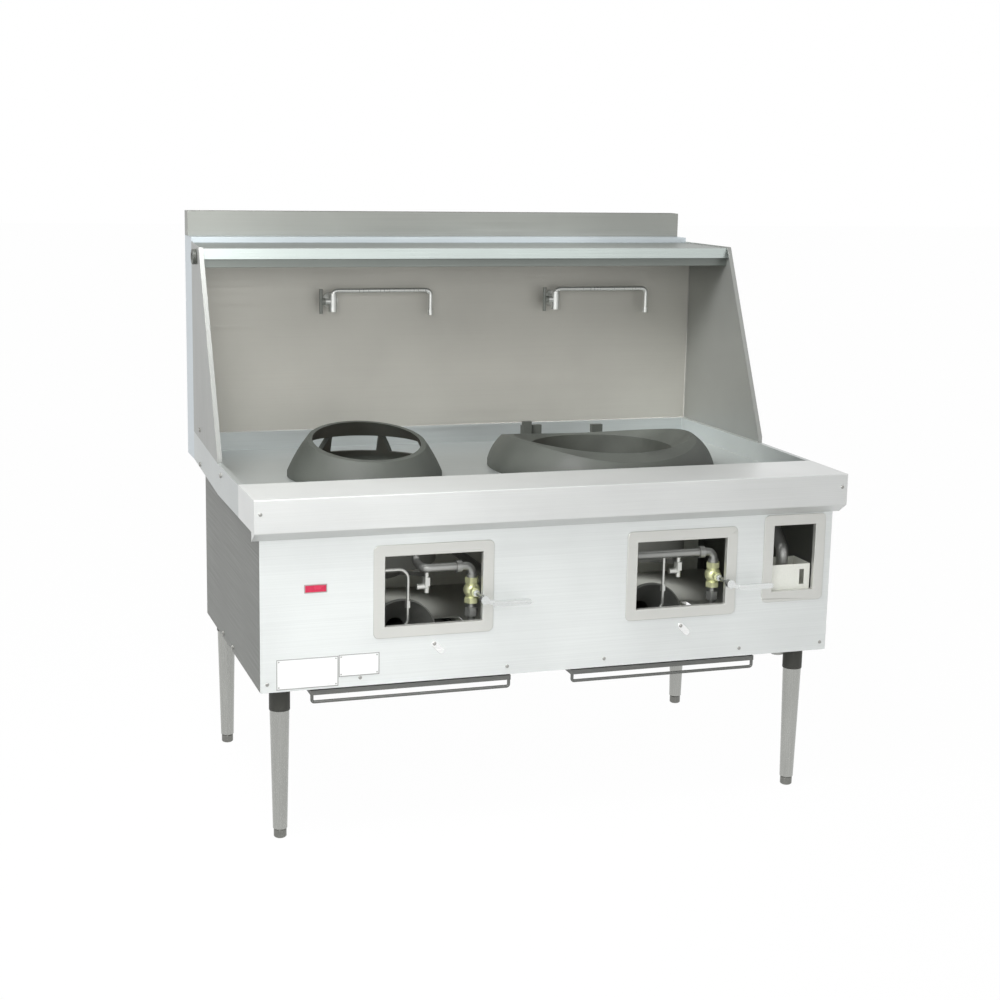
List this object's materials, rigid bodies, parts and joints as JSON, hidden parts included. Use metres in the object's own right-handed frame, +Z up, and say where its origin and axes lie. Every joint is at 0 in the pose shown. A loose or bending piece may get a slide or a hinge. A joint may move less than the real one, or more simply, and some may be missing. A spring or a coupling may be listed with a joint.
{
  "type": "wok range",
  "caption": "Free-standing gas wok range with cast wok rings, splash guards, flue riser and swing taps on tall legs.",
  "frame": {"origin": "bottom centre of the whole range, on the floor", "axes": "+X to the right along the front, +Y from the front panel to the back, +Z up"},
  "size_m": [1.571, 1.158, 1.499],
  "materials": {
    "stainless": "brushed",
    "galvanised": "dull",
    "leg_steel": "satin",
    "dark_paint": "matt",
    "cast_iron": "as cast",
    "firebrick": "rough",
    "gas_pipe": "satin",
    "brass": "satin",
    "aluminium": "satin",
    "lever_zinc": "bright",
    "chrome": "polished",
    "tap_handle": "satin",
    "cover_plate": "bright",
    "fastener": "dull",
    "red_enamel": "gloss",
    "plate": "satin"
  },
  "bodies": {
    "range_body": {"frame_tubes": "dark_paint", "front_panel": "stainless", "service_trim": "stainless", "side_panel_left": "stainless", "side_panel_right": "stainless", "rear_panel": "stainless", "bottom_panel": "galvanised", "top_deck": "stainless", "front_rail": "stainless", "guard_left": "stainless", "guard_right": "stainless", "backsplash_panel": "stainless", "pipe_shelf": "stainless", "flue_box": "stainless", "flue_plenum": "galvanised", "flue_riser": "stainless", "gas_manifold": "gas_pipe", "pilot_valves": "aluminium", "water_pipe": "chrome", "water_inlet": "dark_paint", "leg_sockets": "dark_paint", "legs": "leg_steel", "tray_runners": "galvanised", "badge_plate": "red_enamel", "rating_plates": "plate", "case_fasteners": "fastener", "drain_box": "galvanised", "drain_pipe": "gas_pipe", "window_trim_left": "stainless", "fire_chamber_left": "dark_paint", "chamber_lining_left": "firebrick", "burner_left": "cast_iron", "ball_valve_left": "brass", "burner_supply_left": "gas_pipe", "pilot_tube_left": "aluminium", "tap_body_left": "chrome", "window_trim_right": "stainless", "fire_chamber_right": "dark_paint", "chamber_lining_right": "firebrick", "burner_right": "cast_iron", "ball_valve_right": "brass", "burner_supply_right": "gas_pipe", "pilot_tube_right": "aluminium", "tap_body_right": "chrome"},
    "lever_left": {"valve_lever_left": "lever_zinc"},
    "spout_body_left": {"spout_left": "chrome"},
    "tap_bar_left": {"tap_handle_left": "tap_handle"},
    "cover_left": {"lighting_cover_left": "cover_plate"},
    "tray_left": {"drip_tray_left": "galvanised"},
    "ring_left": {"wok_ring_left": "cast_iron"},
    "lever_right": {"valve_lever_right": "lever_zinc"},
    "spout_body_right": {"spout_right": "chrome"},
    "tap_bar_right": {"tap_handle_right": "tap_handle"},
    "cover_right": {"lighting_cover_right": "cover_plate"},
    "tray_right": {"drip_tray_right": "galvanised"},
    "ring_right": {"wok_ring_right": "cast_iron"},
    "levelling_front_left": {"foot_front_left": "leg_steel"},
    "levelling_front_right": {"foot_front_right": "leg_steel"},
    "levelling_rear_left": {"foot_rear_left": "leg_steel"},
    "levelling_rear_right": {"foot_rear_right": "leg_steel"}
  },
  "joints": [
    {"name": "valve_turn_left", "type": "hinge", "parent": "range_body", "child": "lever_left", "pos_m": [-0.213, -0.57, 0.606], "axis": [0, 1, 0], "range_deg": [0, 90]},
    {"name": "spout_swing_left", "type": "hinge", "parent": "range_body", "child": "spout_body_left", "pos_m": [-0.369, 0.39, 1.267], "axis": [0, 0, 1], "range_deg": [-145, 5]},
    {"name": "tap_turn_left", "type": "hinge", "parent": "range_body", "child": "tap_bar_left", "pos_m": [-0.391, 0.39, 1.252], "axis": [1, 0, 0], "range_deg": [0, 90]},
    {"name": "cover_swing_left", "type": "hinge", "parent": "range_body", "child": "cover_left", "pos_m": [-0.32719, -0.527, 0.49019], "axis": [0, 1, 0], "range_deg": [-70, 90]},
    {"name": "tray_slide_left", "type": "slide", "parent": "range_body", "child": "tray_left", "axis": [0, -1, 0], "range_m": [0, 0.5]},
    {"name": "ring_lift_left", "type": "slide", "parent": "range_body", "child": "ring_left", "axis": [0, 0, 1], "range_m": [0, 0.25]},
    {"name": "valve_turn_right", "type": "hinge", "parent": "range_body", "child": "lever_right", "pos_m": [0.451, -0.57, 0.606], "axis": [0, 1, 0], "range_deg": [0, 90]},
    {"name": "spout_swing_right", "type": "hinge", "parent": "range_body", "child": "spout_body_right", "pos_m": [0.308, 0.39, 1.267], "axis": [0, 0, 1], "range_deg": [-145, 5]},
    {"name": "tap_turn_right", "type": "hinge", "parent": "range_body", "child": "tap_bar_right", "pos_m": [0.286, 0.39, 1.252], "axis": [1, 0, 0], "range_deg": [0, 90]},
    {"name": "cover_swing_right", "type": "hinge", "parent": "range_body", "child": "cover_right", "pos_m": [0.33681, -0.527, 0.49019], "axis": [0, 1, 0], "range_deg": [-70, 90]},
    {"name": "tray_slide_right", "type": "slide", "parent": "range_body", "child": "tray_right", "axis": [0, -1, 0], "range_m": [0, 0.5]},
    {"name": "ring_lift_right", "type": "slide", "parent": "range_body", "child": "ring_right", "axis": [0, 0, 1], "range_m": [0, 0.25]},
    {"name": "foot_level_front_left", "type": "slide", "parent": "range_body", "child": "levelling_front_left", "axis": [0, 0, -1], "range_m": [0, 0.04]},
    {"name": "foot_level_front_right", "type": "slide", "parent": "range_body", "child": "levelling_front_right", "axis": [0, 0, -1], "range_m": [0, 0.04]},
    {"name": "foot_level_rear_left", "type": "slide", "parent": "range_body", "child": "levelling_rear_left", "axis": [0, 0, -1], "range_m": [0, 0.04]},
    {"name": "foot_level_rear_right", "type": "slide", "parent": "range_body", "child": "levelling_rear_right", "axis": [0, 0, -1], "range_m": [0, 0.04]}
  ]
}
